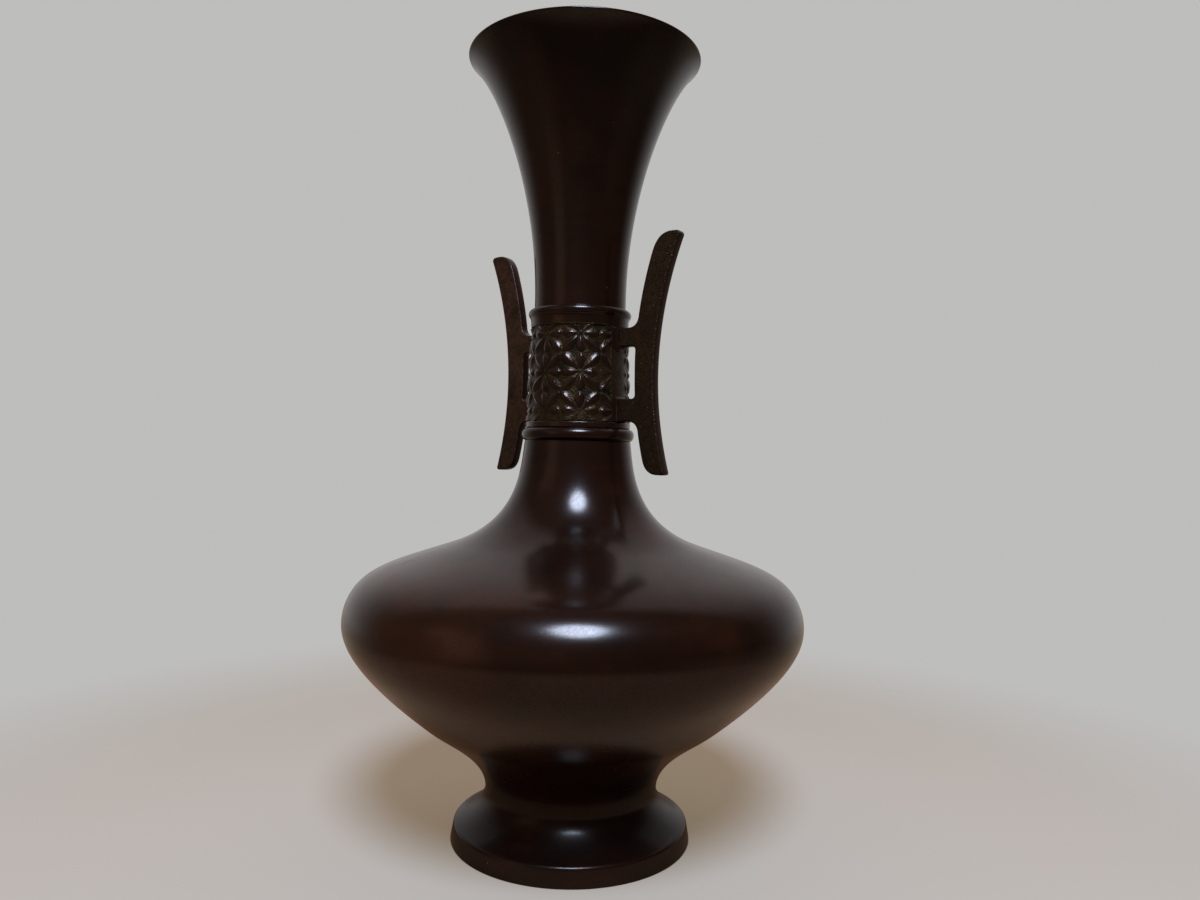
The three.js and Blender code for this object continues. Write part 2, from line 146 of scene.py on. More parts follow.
# A turned surface: every outline point (r, z) goes round to (r cos a, r sin a, z).
def turned(name, outline, steps=256, closedRows=True, innerFrom=None):
    angle = np.linspace(0, 2 * math.pi, steps, endpoint=False)
    radius, height = outline[:, :1], outline[:, 1:]
    points = np.stack([radius * np.cos(angle), radius * np.sin(angle), height + 0 * angle], axis=-1)
    innerRows = None if innerFrom is None else np.arange(len(outline)) >= innerFrom
    return gridMesh(name, points, closedRows, innerRows)


# Shader building

# Wraps a socket, so that shader maths is written as plain sums: each operator adds a Math node.
class Wire:
    def __init__(self, sheet, socket):
        self.sheet = sheet
        self.socket = socket

    def __add__(self, other):
        return self.sheet.maths("ADD", self, other)

    __radd__ = __add__

    def __sub__(self, other):
        return self.sheet.maths("SUBTRACT", self, other)

    def __rsub__(self, other):
        return self.sheet.maths("SUBTRACT", other, self)

    def __mul__(self, other):
        return self.sheet.maths("MULTIPLY", self, other)

    __rmul__ = __mul__

    def __truediv__(self, other):
        return self.sheet.maths("DIVIDE", self, other)

    def __pow__(self, other):
        return self.sheet.maths("POWER", self, other)


# A node tree and the ways to add to it.
class Sheet:
    def __init__(self, tree):
        self.tree = tree
        tree.nodes.clear()

    # Adds a shader node with its settings, and with values or wires for its sockets.
    def node(self, kind, sockets=None, settings=None, output=0):
        made = self.tree.nodes.new("ShaderNode" + kind)
        for key, value in (settings or {}).items():
            setattr(made, key, value)
        for key, value in (sockets or {}).items():
            if isinstance(value, Wire):
                self.tree.links.new(value.socket, made.inputs[key])
            else:
                made.inputs[key].default_value = value
        return Wire(self, made.outputs[output]) if len(made.outputs) else made

    def maths(self, operation, first, second=0.0):
        return self.node("Math", {0: first, 1: second}, {"operation": operation})

    def blend(self, amount, first, second):
        return self.node("Mix", {0: amount, 6: first, 7: second}, {"data_type": "RGBA"}, 2)

    def mixShader(self, amount, first, second):
        return self.node("MixShader", {0: amount, 1: first, 2: second})

    # 0 below low, 1 above high, and a smooth step between them.
    def ease(self, value, low, high):
        return self.node("MapRange", {"Value": value, "From Min": low, "From Max": high},
                         {"interpolation_type": "SMOOTHSTEP"})

    # Adds parts to a start, each times its share.
    def weigh(self, start, parts, shares):
        for part, share in zip(parts, shares):
            start = start + part * share
        return start

    def noise(self, vector, scale, detail, roughness=0.5):
        return self.node("TexNoise", {
            "Vector": vector, "Scale": scale, "Detail": detail, "Roughness": roughness})

    # Noise with one scale across and one upwards.
    def strokes(self, vector, across, upwards, detail):
        x, y, z = self.parts(vector)
        return self.noise(self.joined(x * across, y * across, z * upwards), 1, detail)

    # The distance to the nearest of many scattered points.
    def cells(self, vector, scale):
        return self.node("TexVoronoi", {"Vector": vector, "Scale": scale}, output="Distance")

    def place(self):
        return self.node("TexCoord", output="Object")

    def parts(self, vector):
        split = self.node("SeparateXYZ", {0: vector})
        return [Wire(self, socket) for socket in split.socket.node.outputs]

    def joined(self, x, y, z):
        return self.node("CombineXYZ", {0: x, 1: y, 2: z})

    def bump(self, height, strength, distance):
        return self.node("Bump", {"Height": height, "Strength": strength, "Distance": distance})


# A material whose nodes the given function makes.
def newFinish(name, paint, look):
    material = bpy.data.materials.new(name)
    material.use_nodes = True
    paint(Sheet(material.node_tree), look)
    return material


# The shader of a waxed metal, whose wax is the coat.
def closeFinish(sheet, look, colour, roughness, coat, surface):
    shader = sheet.node("BsdfPrincipled", {
        "Base Color": colour, "Metallic": look["metallic"], "Roughness": roughness,
        "IOR": look["ior"], "Coat Weight": coat, "Coat Roughness": look["coatRoughness"],
        "Coat IOR": look["coatIor"], "Normal": sheet.bump(surface, *look["bump"])})
    sheet.node("OutputMaterial", {"Surface": shader})


# Noise that is drawn out round the axis, like the lines of a lathe: fine in radius and height,
# and slow in the cosine and sine of the angle, so that it has no seam.
def latheNoise(sheet, place, fineness, slowness):
    x, y, z = sheet.parts(place)
    radius = (x * x + y * y) ** 0.5
    vector = sheet.joined(radius * fineness, z * fineness, x / radius * slowness)
    return sheet.node("TexNoise", {"Vector": vector, "W": y / radius * slowness, "Scale": 1.0},
                      {"noise_dimensions": "4D"})


# Finishes

# Radii and heights are in metres. A noise has its scale, detail and roughness, strokes have a scale
# across, one upwards and a detail, lines a fineness and a slowness, and a bump has its strength and
# distance. Shares weigh the parts of a sum, in their order there. Other pairs are where an ease
# begins and ends.
patinaLook = {
    "dark": (0.0075, 0.0036, 0.0024, 1), "brown": (0.0145, 0.0052, 0.0028, 1),
    "red": (0.029, 0.009, 0.0042, 1), "dust": (0.2, 0.18, 0.16, 1), "dustCover": 0.5,
    "clouds": (22, 3, 0.6), "patches": (95, 4, 0.62), "lines": (2600, 2.2), "broadLines": (420, 1.3),
    "toneShares": (0.62, 0.25, 0.13, 0.08, -0.04, -0.08), "brownTones": (0.36, 0.5),
    "redTones": (0.48, 0.66), "handledRadii": (0.034, 0.066), "waistHeights": (0.019, 0.036),
    "footHeights": (0.004, 0.008), "mouthHeights": (0.185, 0.245), "speckScale": 210,
    "speckSizes": (0.028, 0.05), "speckPatches": (0.56, 0.62), "strokes": (80, 110, 1),
    "scratchWidths": (0, 0.0035), "scratchClouds": (0.5, 0.6), "metallic": 0.3, "ior": 1.16,
    "roughness": 0.21, "roughnessShares": (0.1, 0.04, 0.12, 0.1), "coat": 0.215, "coatIor": 2.0,
    "coatRoughness": 0.19, "thinPatches": (0.45, 0.7), "coatShares": (-0.1, -0.04, -0.1),
    "coatGrain": (2300, 2, 0.7), "coatGrains": (0.35, 0.65), "coatGrainShares": (0.76, 0.48),
    "grain": (3200, 1), "reliefShares": (0.4, 0.7, -0.4, 0.6), "bump": (0.2, 0.00004),
}

footLook = {
    **patinaLook,
    "dark": (0.006, 0.0036, 0.0027, 1), "brown": (0.0115, 0.0052, 0.0033, 1),
    "red": (0.028, 0.0089, 0.0042, 1), "coat": 0.165, "coatRoughness": 0.21, "roughness": 0.24,
    "coatShares": (-0.1, -0.04, -0.045),
}


# Waxed red-brown patina: cloudy patches of three browns, redder where the body is widest and most
# handled, darker at the mouth and in the waist, which is less waxed too, polishing lines round the
# axis, a few fine scratches and specks of dust.
def patinaFinish(sheet, look):
    place = sheet.place()
    x, y, z = sheet.parts(place)
    clouds, patches = sheet.noise(place, *look["clouds"]), sheet.noise(place, *look["patches"])
    lines, broadLines = (latheNoise(sheet, place, *look[key]) for key in ("lines", "broadLines"))
    handled = sheet.ease((x * x + y * y) ** 0.5, *look["handledRadii"])
    low = (1 - sheet.ease(z, *look["waistHeights"])) * sheet.ease(z, *look["footHeights"])
    high = sheet.ease(z, *look["mouthHeights"])
    tone = sheet.weigh(0, (clouds, patches, broadLines, handled - 0.5, low, high), look["toneShares"])
    colour = sheet.blend(sheet.ease(tone, *look["brownTones"]), look["dark"], look["brown"])
    colour = sheet.blend(sheet.ease(tone, *look["redTones"]), colour, look["red"])
    speck = 1 - sheet.ease(sheet.cells(place, look["speckScale"]), *look["speckSizes"])
    speck = speck * sheet.ease(patches, *look["speckPatches"])
    colour = sheet.blend(speck * look["dustCover"], colour, look["dust"])
    strokes = sheet.strokes(place, *look["strokes"])
    scratch = 1 - sheet.ease(sheet.maths("ABSOLUTE", strokes - 0.5), *look["scratchWidths"])
    scratch = scratch * sheet.ease(clouds, *look["scratchClouds"])
    parts = (patches - 0.5, lines - 0.5, scratch, low)
    roughness = sheet.weigh(look["roughness"], parts, look["roughnessShares"])
    thin = sheet.ease(patches, *look["thinPatches"])
    coat = sheet.weigh(look["coat"], (speck, thin, low), look["coatShares"])
    coatGrain = sheet.ease(sheet.noise(place, *look["coatGrain"]), *look["coatGrains"])
    least, added = look["coatGrainShares"]
    grain = sheet.noise(place, *look["grain"])
    relief = sheet.weigh(0, (lines, grain, scratch, speck), look["reliefShares"])
    closeFinish(sheet, look, colour, roughness, coat * (least + added * coatGrain), relief)


innerLook = {
    "deep": (0.03, 0.018, 0.013, 1), "tarnish": (0.085, 0.045, 0.03, 1),
    "bloom": (0.07, 0.085, 0.07, 1), "bloomCover": 0.5, "clouds": (55, 5, 0.65),
    "tarnishClouds": (0.38, 0.62), "strokes": (400, 14, 3), "bloomStrokes": (0.52, 0.7),
    "bloomHeights": (0.16, 0.235), "dullHeights": (0.205, 0.246), "metallic": 0.75, "ior": 1.5,
    "roughness": 0.34, "roughnessShares": (0.26, 0.15), "coat": 0.25, "dullCoatLoss": 0.22,
    "coatIor": 1.5, "coatRoughness": 0.2, "grain": (900, 3), "bump": (0.15, 0.00008),
}


# Dull tarnish inside: brown patches with a thin grey-green bloom lower down.
def innerFinish(sheet, look):
    place = sheet.place()
    x, y, height = sheet.parts(place)
    clouds = sheet.noise(place, *look["clouds"])
    colour = sheet.blend(sheet.ease(clouds, *look["tarnishClouds"]), look["deep"], look["tarnish"])
    bloom = sheet.ease(sheet.strokes(place, *look["strokes"]), *look["bloomStrokes"])
    bloom = bloom * (1 - sheet.ease(height, *look["bloomHeights"])) * look["bloomCover"]
    colour = sheet.blend(bloom, colour, look["bloom"])
    dull = 1 - sheet.ease(height, *look["dullHeights"])
    roughness = sheet.weigh(look["roughness"], (dull, clouds - 0.5), look["roughnessShares"])
    coat = look["coat"] - dull * look["dullCoatLoss"]
    closeFinish(sheet, look, colour, roughness, coat, sheet.noise(place, *look["grain"]))


bandLook = {
    "ground": (0.037, 0.021, 0.0072, 1), "groundDark": (0.013, 0.008, 0.004, 1),
    "crest": (0.026, 0.012, 0.0075, 1), "gilt": (0.17, 0.115, 0.05, 1), "giltCover": 0.5,
    "crestReliefs": (0.16, 0.42), "patches": (160, 4, 0.6), "groundPatches": (0.36, 0.64),
    "hollowCover": 0.75, "grainScale": 1600, "fine": (2200, 3, 0.6), "chisel": (700, 2, 0.6),
    "wornFine": (0.62, 0.74), "wornPatches": (0.52, 0.62), "metallic": 0.55, "ior": 1.25,
    "roughness": 0.42, "roughnessShares": (-0.2, 0.12), "coat": 0.06, "crestCoat": 0.36,
    "coatIor": 1.5, "coatRoughness": 0.11, "grainShares": (0.7, 0.7), "crestPolish": 0.45,
    "chiselShare": 0.8, "bump": (0.6, 0.00028),
}


# The band: an olive-brown grained ground, darkened with painted shade in the corners of the relief,
# and smooth red-brown crests. The mesh carries its relief in millimetres in the attribute relief,
# and in a second attribute how far a point lies in a corner, which sets that painted shade.
def bandFinish(sheet, look):
    place = sheet.place()
    relief, cornerShade = (sheet.node("Attribute", {}, {"attribute_name": field}, "Fac")
                      for field in ("relief", "cornerShade"))
    crest = sheet.ease(relief, *look["crestReliefs"])
    patches, fine = sheet.noise(place, *look["patches"]), sheet.noise(place, *look["fine"])
    grains = sheet.cells(place, look["grainScale"])
    ground = sheet.blend(sheet.ease(patches, *look["groundPatches"]), look["groundDark"], look["ground"])
    # Painted shade: the ground turns to its dark colour in the corners of the relief.
    ground = sheet.blend(cornerShade * look["hollowCover"], ground, look["groundDark"])
    colour = sheet.blend(crest, ground, look["crest"])
    worn = sheet.ease(fine, *look["wornFine"]) * sheet.ease(patches, *look["wornPatches"]) * (1 - crest)
    colour = sheet.blend(worn * look["giltCover"], colour, look["gilt"])
    roughness = sheet.weigh(look["roughness"], (crest, fine - 0.5), look["roughnessShares"])
    coat = look["coat"] + crest * look["crestCoat"]
    surface = sheet.weigh(0, (grains, fine), look["grainShares"]) * (1 - crest * look["crestPolish"])
    surface = surface + sheet.noise(place, *look["chisel"]) * look["chiselShare"]
    closeFinish(sheet, look, colour, roughness, coat, surface)


earLook = {
    "field": (0.033, 0.0195, 0.0078, 1), "fieldDark": (0.009, 0.0052, 0.0032, 1),
    "leftField": (0.07, 0.035, 0.0185, 1), "edge": (0.03, 0.0115, 0.0072, 1),
    "gilt": (0.24, 0.15, 0.06, 1), "giltCover": 0.8, "faceDepths": (0.00118, 0.0015),
    "leftToRight": (-0.02, 0.02), "patches": (130, 4, 0.6), "fieldPatches": (0.22, 0.5),
    "depthScale": 0.2, "dotScale": 1900, "dotSizes": (0.1, 0.6), "fine": (2600, 2, 0.6),
    "mottle": (520, 3, 0.6), "mottleTones": (0.42, 0.6), "darkShares": (0.55, 0.4),
    "pointScale": 560, "pointSizes": (0.05, 0.14), "pointPatches": (0.47, 0.58),
    "darkHeights": (0.122, 0.15), "lowCover": 0.35, "metallic": 0.55, "ior": 1.25,
    "roughness": 0.31, "roughnessShares": (0.13, 0.1), "coat": 0.28, "sideCoatLoss": 0.11,
    "coatIor": 1.5, "coatRoughness": 0.18, "surfaceShares": (0.8, 0.3, 0.5), "bump": (0.6, 0.0002),
}


# The ears: flat sides with punched dots, olive-brown on the right ear, and on the left one redder
# and painted lighter, as a painted sheen of light from the left; darker low down, with rubbed gilt
# points, and smooth red-brown edges. A point's distance from the middle plane tells side from edge.
def earFinish(sheet, look):
    place = sheet.place()
    x, y, z = sheet.parts(place)
    side = sheet.ease(sheet.maths("ABSOLUTE", y), *look["faceDepths"])
    patches, fine = sheet.noise(place, *look["patches"]), sheet.noise(place, *look["fine"])
    flat = sheet.joined(x, z, y * look["depthScale"])
    dots = sheet.ease(sheet.cells(flat, look["dotScale"]), *look["dotSizes"])
    # The left ear's field is redder, and lighter as a painted sheen of light from the left.
    fieldColour = sheet.blend(sheet.ease(x, *look["leftToRight"]), look["leftField"], look["field"])
    field = sheet.blend(sheet.ease(patches, *look["fieldPatches"]), look["fieldDark"], fieldColour)
    mottle = sheet.ease(sheet.noise(place, *look["mottle"]), *look["mottleTones"])
    field = sheet.blend(sheet.weigh(0, (1 - dots, mottle), look["darkShares"]), field, look["fieldDark"])
    point = 1 - sheet.ease(sheet.cells(flat, look["pointScale"]), *look["pointSizes"])
    rubbed = point * sheet.ease(patches, *look["pointPatches"])
    field = sheet.blend(rubbed * look["giltCover"], field, look["gilt"])
    low = (1 - sheet.ease(z, *look["darkHeights"])) * look["lowCover"]
    colour = sheet.blend(side, look["edge"], sheet.blend(low, field, look["fieldDark"]))
    roughness = sheet.weigh(look["roughness"], (side, fine - 0.5), look["roughnessShares"])
    coat = look["coat"] - side * look["sideCoatLoss"]
    surface = sheet.weigh(0, (dots * side, fine, rubbed * side), look["surfaceShares"])
    closeFinish(sheet, look, colour, roughness, coat, surface)


patina = newFinish("copperPatina", patinaFinish, patinaLook)
footPatina = newFinish("footPatina", patinaFinish, footLook)
innerMetal = newFinish("tarnishedCopper", innerFinish, innerLook)
bandMetal = newFinish("bandPatina", bandFinish, bandLook)
earMetal = newFinish("earPatina", earFinish, earLook)
print("finishes made")


# A shell of the vase, from its outline and the point where its bare inside begins.
def addShell(name, node, shape, finish):
    outline, innerFrom = shape
    mesh = turned(name, outline, innerFrom=innerFrom)
    addPiece(name, mesh, node, [finish, innerMetal])


# Foot

foot = {
    "radius": 38.3, "ringWidth": 4.65, "bandHeight": 5.8, "edgeDraft": 1.0, "edgeRound": 0.9,
    "groundRounds": (0.3, 0.45), "coveAngle": 169, "covePulls": (2.0, 4.7), "waistRadius": 27.5,
    "waistHeight": 16.0, "lapDepth": 2.55, "lapHeight": 4, "lapWall": 1.6, "hollowDrop": 2.2,
    "ledgeWidth": 2.6, "ledgeHeight": 5,
}


# Upright band, rounded edge, hollow cove up to the waist, then the lap and the inside. The edge's
# rounding aims along the cove and takes the place of its first points.
def footOutline(size):
    radius, waist = size["radius"], (size["waistRadius"], size["waistHeight"])
    edge = (radius - size["edgeDraft"], size["bandHeight"])
    cove = sweep(edge, size["coveAngle"], size["covePulls"][0], waist, 90, size["covePulls"][1])
    plate, ledge = radius - size["ringWidth"], size["ledgeHeight"]
    innerRound, outerRound = size["groundRounds"]
    outer = chain(
        softCorner((plate, ledge), (plate, 0), (radius, 0), innerRound),
        softCorner((plate, 0), (radius, 0), edge, outerRound),
        softCorner((radius, 0), edge, cove[6], size["edgeRound"]),
        cove[8:])
    lap = waist[0] - size["lapDepth"]
    lapInside, lapTop = lap - size["lapWall"], waist[1] + size["lapHeight"]
    inner = chain(
        (lap, waist[1]), (lap, lapTop), (lapInside, lapTop), (lapInside, waist[1] - size["hollowDrop"]),
        (plate - size["ledgeWidth"], ledge), (plate, ledge))
    return chain(outer, inner), len(outer) - 1


addShell("foot_turned", "foot", footOutline(foot), footPatina)

basePlate = {"radius": 33.5, "bottom": 3.0, "top": 5.0, "edgeRound": 0.25, "flatShare": 0.6}


# A thin disc with softened edges.
def plateOutline(size):
    radius, low, high, soft = size["radius"], size["bottom"], size["top"], size["edgeRound"]
    flat = radius * size["flatShare"]
    return chain(
        (0, low), (flat, low), softCorner((0, low), (radius, low), (radius, high), soft),
        softCorner((radius, low), (radius, high), (0, high), soft), (flat, high), (0, high))


plateMesh = turned("base_disc", plateOutline(basePlate), 128, closedRows=False)
addPiece("base_disc", plateMesh, "base_plate", [innerMetal])


# Body

body = {
    "wall": 2.2, "gap": 0.15, "turnRadius": 48.8, "turnHeight": 39.6, "turnAngle": 39.5,
    "hollowPulls": (11, 7.4), "fullPulls": (28, 5.1), "widestRadius": 72.7, "widestHeight": 70.2,
    "rollRadius": 16.4, "rollAngle": 56.0, "rollPull": 6.3, "shoulderRadius": 40.0,
    "shoulderHeight": 93.55, "shoulderAngle": 161, "shoulderPulls": (12, 22.9), "neckRadius": 17.1,
    "neckHeight": 126.9, "neckAngle": 97.5, "neckPull": 9.1, "waistWall": 2.4, "seamFloor": 66.05,
    "seamDepths": (1.9, 2.05), "seamWall": 1.35, "flangeHeight": 4, "insideFloor": 73.8,
    "collarDepth": 1.25, "collarHeight": 4.1, "socketRadius": 14.125, "socketHeight": 4,
}


# Out of the waist in a hollow curve, then full and round to the widest line.
def bellyOutline(size):
    waist = (foot["waistRadius"], foot["waistHeight"])
    turn = (size["turnRadius"], size["turnHeight"])
    widest = (size["widestRadius"], size["widestHeight"])
    hollowOut, hollowIn = size["hollowPulls"]
    fullOut, fullIn = size["fullPulls"]
    outer = chain(
        sweep(waist, 90, hollowOut, turn, size["turnAngle"], hollowIn),
        sweep(turn, size["turnAngle"], fullOut, widest, 90, fullIn)[1:])
    lap, seam = widest[0] - size["seamDepths"][0], size["seamFloor"]
    wallPoints = innerSide(outer, size["wall"])[1:]
    wallPoints = wallPoints[wallPoints[:, 1] < seam - size["gap"]][::-2]
    inner = chain(
        (lap, widest[1]), (lap, seam), (lap - size["seamWall"], seam), wallPoints,
        (waist[0] - size["waistWall"], waist[1]))
    return chain(outer, inner), len(outer) - 1


# Over the widest line in an arc, on in a flatter sweep, then hollow up to the neck's collar.
def shoulderOutline(size):
    angle = np.radians(np.linspace(0, size["rollAngle"], 40))
    widest, neckHeight = size["widestHeight"], size["neckHeight"]
    roll = arc((size["widestRadius"] - size["rollRadius"], widest), size["rollRadius"], angle)
    turn, bend = (size["shoulderRadius"], size["shoulderHeight"]), size["shoulderAngle"]
    turnIn, turnOut = size["shoulderPulls"]
    neck = (size["neckRadius"], neckHeight)
    outer = chain(
        roll, sweep(roll[-1], 90 + size["rollAngle"], size["rollPull"], turn, bend, turnIn)[1:],
        sweep(turn, bend, turnOut, neck, size["neckAngle"], size["neckPull"])[1:])
    collar, collarTop = neck[0] - size["collarDepth"], neckHeight + size["collarHeight"]
    socket = size["socketRadius"]
    wallPoints = innerSide(outer, size["wall"])
    keep = (wallPoints[:, 1] > size["insideFloor"]) & (wallPoints[:, 0] > socket)
    keep = keep & (wallPoints[:, 1] < neckHeight - size["socketHeight"])
    flange = size["widestRadius"] - size["seamDepths"][1]
    flangeInside, flangeFoot = flange - size["seamWall"], widest - size["flangeHeight"]
    inner = chain(
        (collar, neckHeight), (collar, collarTop), (socket, collarTop), (socket, neckHeight - size["gap"]),
        wallPoints[keep][::-2], (flangeInside, widest + size["seamWall"]), (flangeInside, flangeFoot),
        (flange, flangeFoot), (flange, widest))
    return chain(outer, inner), len(outer) - 1


addShell("belly_turned", "lower_body", bellyOutline(body), patina)
addShell("shoulder_turned", "upper_body", shoulderOutline(body), patina)
print("foot and body made")


# Beads

lowerBead = {"inner": 16.0, "bottom": 126.9, "height": 4.0, "depth": 2.2, "flat": 0.6}
upperBead = {
    "inner": 14.9, "bottom": 163.4, "top": 169.0, "reach": 16.6, "roll": 1.5, "rollArc": (-42, 112),
    "coveFoot": 15.72, "coveAngles": (86, 48), "covePulls": (1.4, 0.8), "backDrop": 0.1,
}


# Half an ellipse standing on a short flat, on a straight back.
def beadOutline(size):
    inner, bottom, height, flat = size["inner"], size["bottom"], size["height"], size["flat"]
    angle = np.linspace(-math.pi / 2, math.pi / 2, 33)
    radius = inner + flat + (size["depth"] - flat) * np.cos(angle)
    rise = bottom + height * (0.5 + 0.5 * np.sin(angle))
    return chain((inner, bottom), np.stack([radius, rise], axis=1), (inner, bottom + height))


# A round roll at the top, and below it a hollow sweep in to the band.
def rolledOutline(size):
    angle = np.radians(np.linspace(*size["rollArc"], 28))
    roll = arc((size["reach"] - size["roll"], size["top"] - size["roll"]), size["roll"], angle)
    (outAngle, inAngle), (outPull, inPull) = size["coveAngles"], size["covePulls"]
    cove = sweep((size["coveFoot"], size["bottom"]), outAngle, outPull, roll[0], inAngle, inPull, 20)
    backTop = (size["inner"], roll[-1, 1] - size["backDrop"])
    return chain((size["inner"], size["bottom"]), cove, roll[1:], backTop)


for name, outline in (("lower_bead", beadOutline(lowerBead)), ("upper_bead", rolledOutline(upperBead))):
    addPiece(name + "_turned", turned(name + "_turned", outline), name, [patina])
print("beads made")


# Ornament band

band = {
    "bottom": 131.0, "top": 163.4, "fieldBottom": 132.9, "fieldTop": 163.0, "lowRadius": 16.35,
    "highRadius": 15.25, "rimProud": 0.55, "upperRimStep": 0.1, "rimRounds": (0.35, 0.4),
    "rimRoundHeight": 132, "rimInside": 13, "fieldStep": 0.05, "bore": 12.4,
    "lowerSpigot": (13.975, 4), "upperSpigot": (13.425, 5.5), "columns": 640, "fieldRows": 118,
    "crease": 50,
}

# Millimetres, and angles in degrees. A drift is its reach, its turns up and round, and its start.
# A worn spot is its angle, height, reach and the share of the relief that is left.
net = {
    "pitch": 12.0, "row": 148.2, "turn": -4.0, "root": 0.75, "straightReach": 5.8, "slantReach": 8.25,
    "taper": 1.45, "fullness": 0.75, "halfWidth": 1.5, "roundness": 1.3, "relief": 0.9, "dot": 0.45,
    "unevenness": 0.3, "tallest": 1.05, "seed": 11,
    "drifts": ((0.16, 0.62, 3, 0), (0.12, 0.41, -5, 2)), "lift": (0.1, 9, 0.3),
    "wornSpots": (
        (-25, 147.2, 4.2, 0.35), (-38, 163, 4.0, 0.55), (-50, 133.4, 5.6, 0.25), (-93, 134.6, 6.0, 0.25),
        (70, 139, 5.0, 0.55), (118, 158, 4.5, 0.6)),
    "spotCore": 0.4, "stripHalf": 3.6, "stripEdge": (0.15, 0.25), "stripProud": 0.25, "padProud": 0.5,
    "padEdge": (0.2, 0.9), "seatFace": 17.1, "seatHalf": 2.05, "seatMargin": 0.4,
    "stubs": ((159.35, 5.9), (136.65, 7.1)), "wear": 2, "cornerShadeWear": 8, "cornerShadeShares": (2.0, 1.3),
}


# Height of the star net. Each point belongs to the nearest star of the square net, and there to
# the leaf whose heading is nearest. Along the leaf its width is a parabola from root to tip over a
# power of the way, so that it is fullest near the tip, and across it the height falls from a ridge
# by a power of the share of the width, between a tent and a round. A small dot fills the centre,
# and every leaf has a seeded height of its own.
def netHeight(across, height, size):
    u, v = across / size["pitch"], (height - size["row"]) / size["pitch"]
    column, row = np.round(u), np.round(v)
    u, v = (u - column) * size["pitch"], (v - row) * size["pitch"]
    leaf = np.round(np.arctan2(v, u) / (math.pi / 4))
    cosine, sine = np.cos(leaf * math.pi / 4), np.sin(leaf * math.pi / 4)
    along, aside = u * cosine + v * sine, v * cosine - u * sine
    reach = np.where(leaf % 2 == 0, size["straightReach"], size["slantReach"])
    share = np.clip((along - size["root"]) / (reach - size["root"]), 0, 1) ** size["taper"]
    width = np.maximum(4 * share * (1 - share), 1e-4) ** size["fullness"]
    ridge = np.clip(1 - np.abs(aside / (width * size["halfWidth"])) ** size["roundness"], 0, 1)
    wear = np.random.default_rng(size["seed"]).uniform(1 - size["unevenness"], size["tallest"], (16, 8, 8))
    own = wear[column.astype(int) % 16, row.astype(int) % 8, leaf.astype(int) % 8]
    dot = size["dot"] * np.clip(1 - (u * u + v * v) / size["dot"] ** 2, 0, 1)
    return size["relief"] * np.maximum(ridge * width ** 0.5 * own, dot)


# 0 below low, 1 above high, and 3 s^2 - 2 s^3 of the share s of the way between.
def smoothStep(value, low, high):
    share = np.clip((value - low) / (high - low), 0, 1)
    return share * share * (3 - 2 * share)


# Averages each point with its neighbours, round the band and up it.
def worn(field, times):
    for _ in range(times):
        field = (np.roll(field, 1, axis=1) + 2 * field + np.roll(field, -1, axis=1)) / 4
        field[1:-1] = (field[:-2] + 2 * field[1:-1] + field[2:]) / 4
    return field


# The band's field: a tapering ground, the star net on the front and back, a little uneven and worn
# in spots, a plain raised strip behind each ear, and on each strip two pads with a flat seat for
# the ear's stubs.
def bandField(size, net):
    angle = np.linspace(0, 2 * math.pi, size["columns"], endpoint=False)
    ends, radii = (size["fieldBottom"], size["fieldTop"]), (size["lowRadius"], size["highRadius"])
    height = np.linspace(*ends, size["fieldRows"])[:, None]
    ground, netRadius = np.interp(height, ends, radii), np.interp(net["row"], ends, radii)
    fromPanel = np.mod(angle, math.pi) - math.pi / 2
    fromStrip = np.abs(np.mod(angle + math.pi / 2, math.pi) - math.pi / 2) * netRadius
    across = (fromPanel - math.radians(net["turn"])) * netRadius
    drift = sum(reach * np.sin(upwards * height + around * angle + start)
                for reach, upwards, around, start in net["drifts"])
    reach, around, upwards = net["lift"]
    lift = reach * np.sin(around * angle + upwards * height)
    stars = netHeight(across + drift, height + lift, net)
    for spotAngle, spotHeight, reach, left in net["wornSpots"]:
        far = np.hypot((angle - math.radians(spotAngle) % (2 * math.pi)) * netRadius, height - spotHeight)
        stars = stars * (1 - (1 - left) * (1 - smoothStep(far, net["spotCore"] * reach, reach)))
    inEdge, outEdge = net["stripEdge"]
    strip = 1 - smoothStep(fromStrip, net["stripHalf"] - inEdge, net["stripHalf"] + outEdge)
    relief = stars * (1 - strip) + net["stripProud"] * strip
    inEdge, outEdge = net["padEdge"]
    for middle, tall in net["stubs"]:
        pad = 1 - smoothStep(np.abs(height - middle), tall / 2 + inEdge, tall / 2 + outEdge)
        relief = relief + (net["padProud"] - net["stripProud"]) * pad * strip
    relief = worn(relief, net["wear"])
    radius = ground + relief
    for middle, tall in net["stubs"]:
        seat = (fromStrip < net["seatHalf"]) & (np.abs(height - middle) < tall / 2 + net["seatMargin"])
        radius = np.where(seat, net["seatFace"] / np.cos(fromStrip / netRadius), radius)
    # Painted shade for the corners: how far the worn relief round a point stands above its own, off the
    # strips.
    around, own = net["cornerShadeShares"]
    cornerShade = np.clip(worn(stars, net["cornerShadeWear"]) * around - stars * own, 0, 1) * (1 - strip)
    return angle, height + 0 * angle, radius, radius - ground, cornerShade


